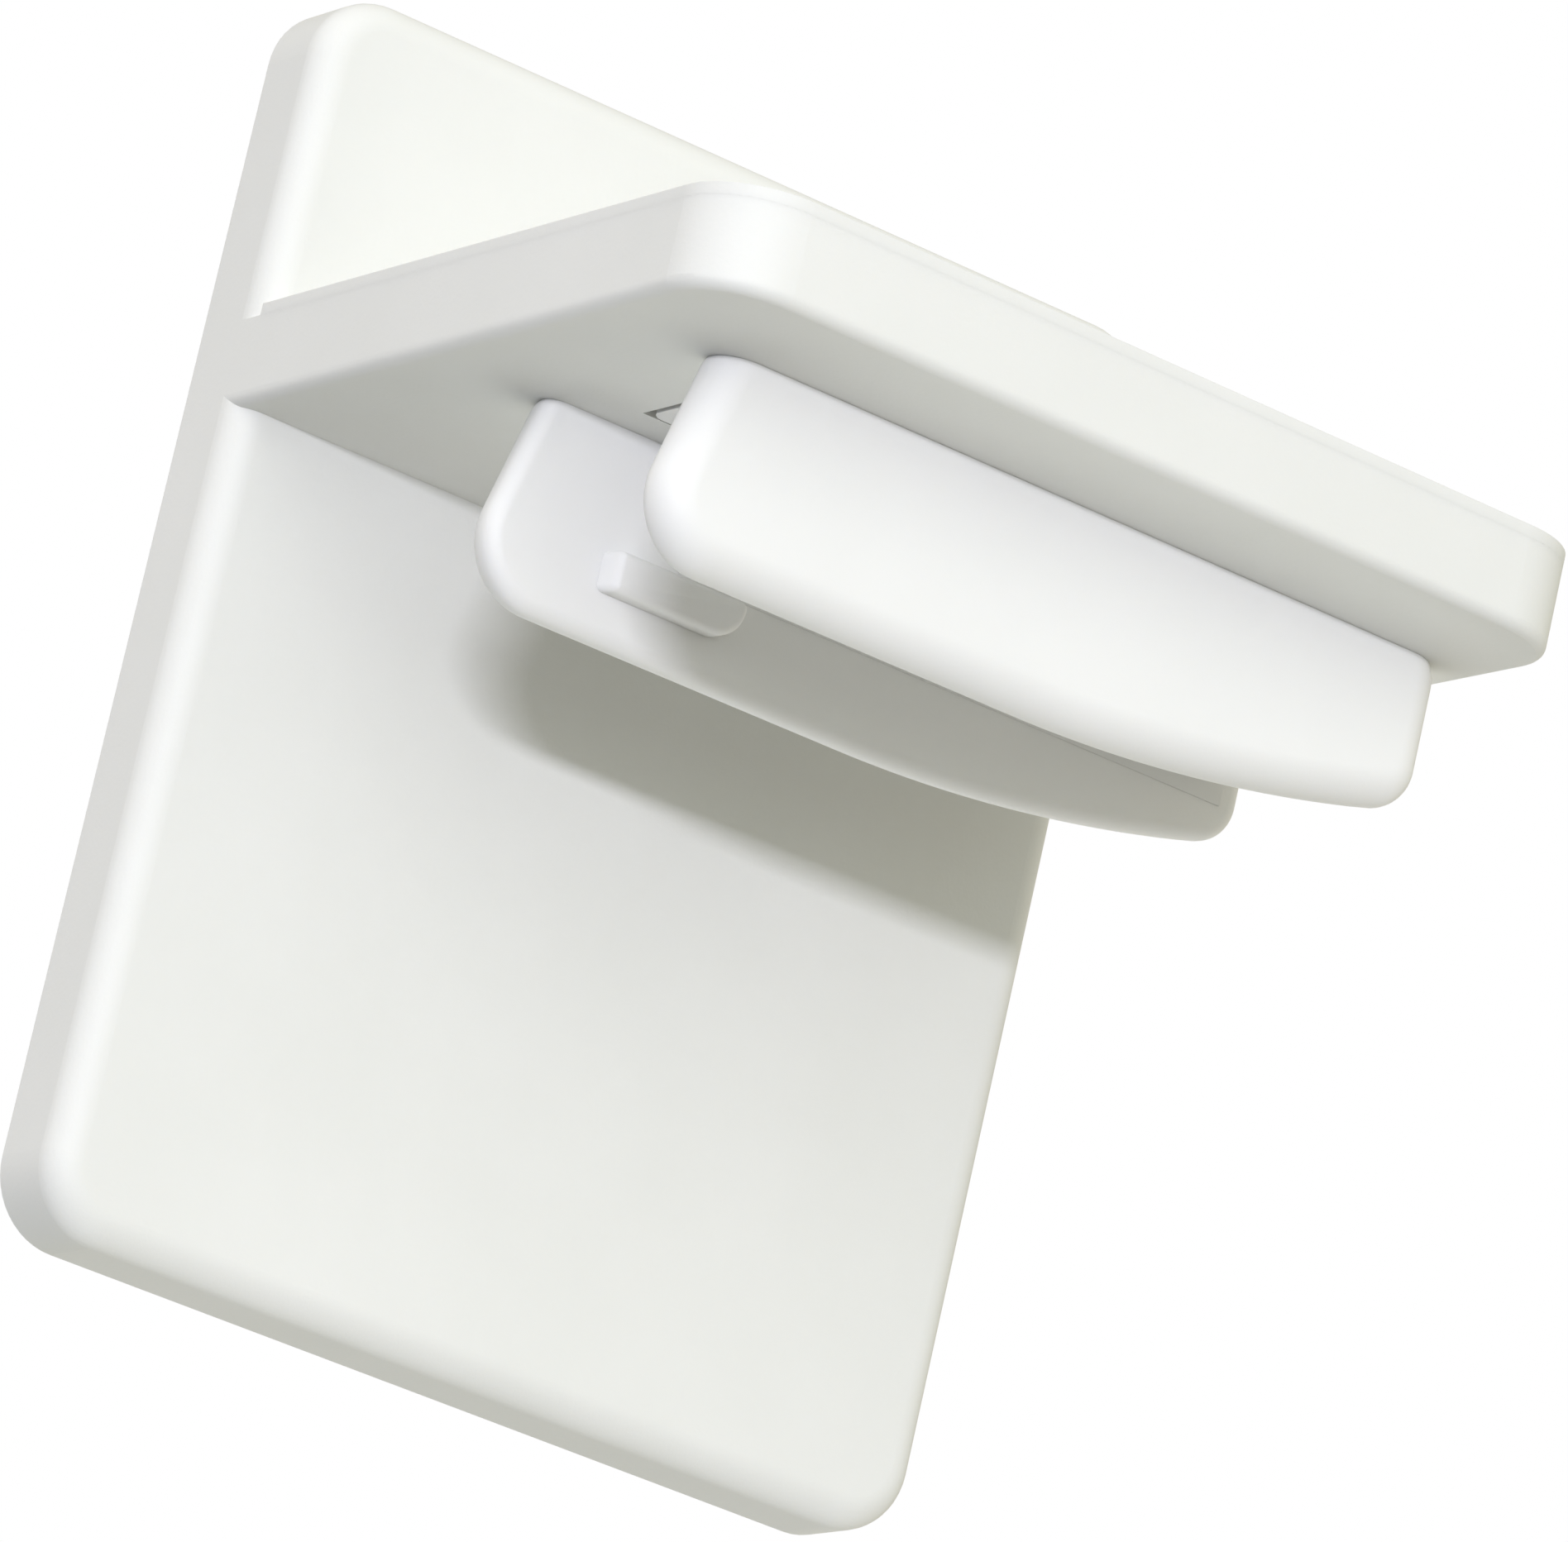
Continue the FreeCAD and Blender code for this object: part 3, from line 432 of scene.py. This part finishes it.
# ---------------------------------------------------------------- light
def soft_box(name, azimuth, elevation, distance, width, height, power, colour):
    """A rectangular soft box aimed at the latch, its azimuth taken as the camera's is."""
    a, e = math.radians(azimuth), math.radians(elevation)
    back = Vector((-math.sin(a) * math.cos(e), -math.cos(a) * math.cos(e), math.sin(e)))
    data = bpy.data.lights.new(name, "AREA")
    data.shape = "RECTANGLE"
    data.size = width
    data.size_y = height
    data.energy = power
    data.color = colour
    lamp = bpy.data.objects.new(name, data)
    lamp.location = AIM + back * distance
    lamp.rotation_mode = "QUATERNION"
    lamp.rotation_quaternion = back.to_track_quat("Z", "Y")
    bpy.context.scene.collection.objects.link(lamp)


ROOM_STRENGTH = 0.8
SIDE_FULL, SIDE_SHARE = 0.5, 0.8
HORIZON_BLEND = 0.17
UPPER_LEFT = (1.723, 1.681, 1.601)
UPPER_RIGHT = (1.17, 1.13, 0.95)
LOWER_RIGHT = (1.06, 1.004, 0.87)


def node_range(tree, value, start, end, low, high):
    node = tree.nodes.new("ShaderNodeMapRange")
    for name, number in (("From Min", start), ("From Max", end), ("To Min", low), ("To Max", high)):
        node.inputs[name].default_value = number
    tree.links.new(value, node.inputs["Value"])
    return node.outputs["Result"]


def scaled(tree, colour, factor):
    """A colour, given as numbers or a socket, times a value."""
    node = tree.nodes.new("ShaderNodeVectorMath")
    node.operation = "SCALE"
    if isinstance(colour, tuple):
        node.inputs["Vector"].default_value = colour
    else:
        tree.links.new(colour, node.inputs["Vector"])
    tree.links.new(factor, node.inputs["Scale"])
    return node.outputs["Vector"]


def add_world():
    """White to the camera. On the latch, soft room light from the upper left and from the right."""
    world = bpy.data.worlds.new("world")
    world.use_nodes = True
    tree = world.node_tree
    tree.nodes.clear()
    out = tree.nodes.new("ShaderNodeOutputWorld")
    seen = tree.nodes.new("ShaderNodeBackground")
    seen.inputs["Color"].default_value = (1.0, 1.0, 1.0, 1.0)
    seen.inputs["Strength"].default_value = 1.0
    room = tree.nodes.new("ShaderNodeBackground")
    room.inputs["Strength"].default_value = ROOM_STRENGTH
    at = tree.nodes.new("ShaderNodeTexCoord")
    axes = tree.nodes.new("ShaderNodeSeparateXYZ")
    tree.links.new(at.outputs["Generated"], axes.inputs["Vector"])
    left = node_range(tree, axes.outputs["X"], -SIDE_FULL, 0.0, SIDE_SHARE, 0.0)
    right = node_range(tree, axes.outputs["X"], 0.0, SIDE_FULL, 0.0, SIDE_SHARE)
    upper = node_range(tree, axes.outputs["Z"], -HORIZON_BLEND, HORIZON_BLEND, 0.0, 1.0)
    upper_left = tree.nodes.new("ShaderNodeMath")
    upper_left.operation = "MULTIPLY"
    tree.links.new(left, upper_left.inputs[0])
    tree.links.new(upper, upper_left.inputs[1])
    total = tree.nodes.new("ShaderNodeVectorMath")
    total.operation = "ADD"
    tree.links.new(scaled(tree, UPPER_LEFT, upper_left.outputs["Value"]), total.inputs[0])
    side = tree.nodes.new("ShaderNodeMix")
    side.data_type = "VECTOR"
    side.inputs["A"].default_value = LOWER_RIGHT
    side.inputs["B"].default_value = UPPER_RIGHT
    tree.links.new(upper, side.inputs["Factor"])
    tree.links.new(scaled(tree, side.outputs["Result"], right), total.inputs[1])
    tree.links.new(total.outputs["Vector"], room.inputs["Color"])
    path = tree.nodes.new("ShaderNodeLightPath")
    mix = tree.nodes.new("ShaderNodeMixShader")
    tree.links.new(path.outputs["Is Camera Ray"], mix.inputs["Fac"])
    tree.links.new(room.outputs["Background"], mix.inputs[1])
    tree.links.new(seen.outputs["Background"], mix.inputs[2])
    tree.links.new(mix.outputs["Shader"], out.inputs["Surface"])
    bpy.context.scene.world = world


def add_floor():
    """A pale floor well below the latch, which hangs on a wall. The light from below isn't blocked by it."""
    half, level = 1.5, -0.6
    corners = [(-half, -half, level), (half, -half, level), (half, half, level), (-half, half, level)]
    mesh = bpy.data.meshes.new("floor")
    mesh.from_pydata(corners, [], [(0, 1, 2, 3)])
    floor = bpy.data.objects.new("floor", mesh)
    floor.visible_diffuse = False
    floor.visible_glossy = False
    floor.visible_shadow = False
    material, tree, shader = new_material("floor_paint")
    colour = ramp(tree, noise(tree, 3.0), (0.86, 0.86, 0.86), (0.9, 0.9, 0.9))
    tree.links.new(colour, shader.inputs["Base Color"])
    shader.inputs["Roughness"].default_value = 0.9
    mesh.materials.append(material)
    bpy.context.scene.collection.objects.link(floor)


add_camera()
add_world()
add_floor()
soft_box("key", 36.5, 1.0, 1.2, 0.25, 0.05, 8.54, (0.894, 0.89, 1.0))
soft_box("front_fill", 10.0, 15.0, 1.0, 1.0, 1.0, 3.08, (0.926, 1.0, 0.935))
soft_box("under_fill", 180.0, -75.0, 0.5, 0.4, 0.4, 1.135, (0.974, 1.0, 0.995))
bpy.context.scene.view_settings.view_transform = "Standard"
